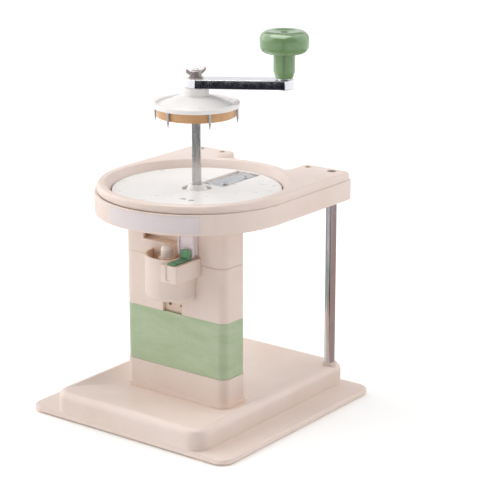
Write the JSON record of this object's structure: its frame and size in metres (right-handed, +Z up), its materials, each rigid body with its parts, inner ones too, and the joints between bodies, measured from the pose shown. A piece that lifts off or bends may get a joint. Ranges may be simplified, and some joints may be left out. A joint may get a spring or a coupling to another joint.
{
  "type": "cabbage cutter",
  "caption": "Hand-cranked cabbage cutter: round deck with a blade on a column and rear rods above a tray base, with a pressing disc on a crank shaft and a lever for shred thickness.",
  "frame": {"origin": "on the floor, under the middle of the base", "axes": "+Z up along the crank shaft, -Y towards the front with the cup, +X to the user's right when facing the front"},
  "size_m": [0.23, 0.23, 0.3543],
  "materials": {
    "body_plastic": "satin moulded",
    "pale_plastic": "satin moulded",
    "white_plastic": "satin moulded",
    "band_green": "fine grained",
    "knob_green": "gloss",
    "slider_green": "gloss",
    "foot_rubber": "matt",
    "chrome": "polished plating",
    "steel": "bright zinc",
    "blade_steel": "ground"
  },
  "bodies": {
    "frame": {"base_tray": "body_plastic", "rubber_feet": "foot_rubber", "column_low": "body_plastic", "column_mid": "band_green", "column_head": "body_plastic", "notch_plate": "pale_plastic", "cup_housing": "body_plastic", "cup_screws": "steel", "deck_skirt": "body_plastic", "deck_top": "body_plastic", "deck_screws": "steel", "rear_rod_right": "chrome", "rear_rod_left": "chrome", "rod_top_screws": "steel", "rod_foot_screws": "steel", "tie_rods": "steel", "tie_nuts": "steel", "blade": "blade_steel", "blade_bed": "body_plastic", "blade_screws": "steel"},
    "bush": {"shaft_bush": "white_plastic"},
    "crank": {"crank_shaft": "steel", "press_disc": "white_plastic", "grip_ring": "pale_plastic", "grip_spikes": "steel", "crank_arm": "chrome", "arm_washer": "steel", "wing_nut": "steel", "knob_pin": "chrome"},
    "knob": {"knob": "knob_green"},
    "slider": {"lift_slider": "slider_green"},
    "table": {"cutting_table": "white_plastic", "table_pins": "steel", "table_screws": "steel", "lift_post": "white_plastic"},
    "button": {"release_button": "white_plastic"}
  },
  "joints": [
    {"name": "crank_turn", "type": "hinge", "parent": "frame", "child": "bush", "pos_m": [0, -0.0062, 0.2], "axis": [0, 0, 1], "continuous": true},
    {"name": "press_drop", "type": "slide", "parent": "bush", "child": "crank", "axis": [0, 0, -1], "range_m": [0, 0.052]},
    {"name": "knob_spin", "type": "hinge", "parent": "crank", "child": "knob", "pos_m": [0.06625, 0.03683, 0.33], "axis": [0, 0, 1], "continuous": true},
    {"name": "slider_pull", "type": "slide", "parent": "frame", "child": "slider", "axis": [0, -1, 0], "range_m": [0, 0.01]},
    {"name": "table_lower", "type": "slide", "parent": "frame", "child": "table", "axis": [0, 0, -1], "range_m": [0, 0.0025]},
    {"name": "button_press", "type": "slide", "parent": "frame", "child": "button", "axis": [0, 0, -1], "range_m": [0, 0.004], "stiffness_N_per_m": 300, "springref_m": -0.003}
  ],
  "couplings": [
    {"joint": "table_lower", "follows": "slider_pull", "ratio": 0.25}
  ]
}
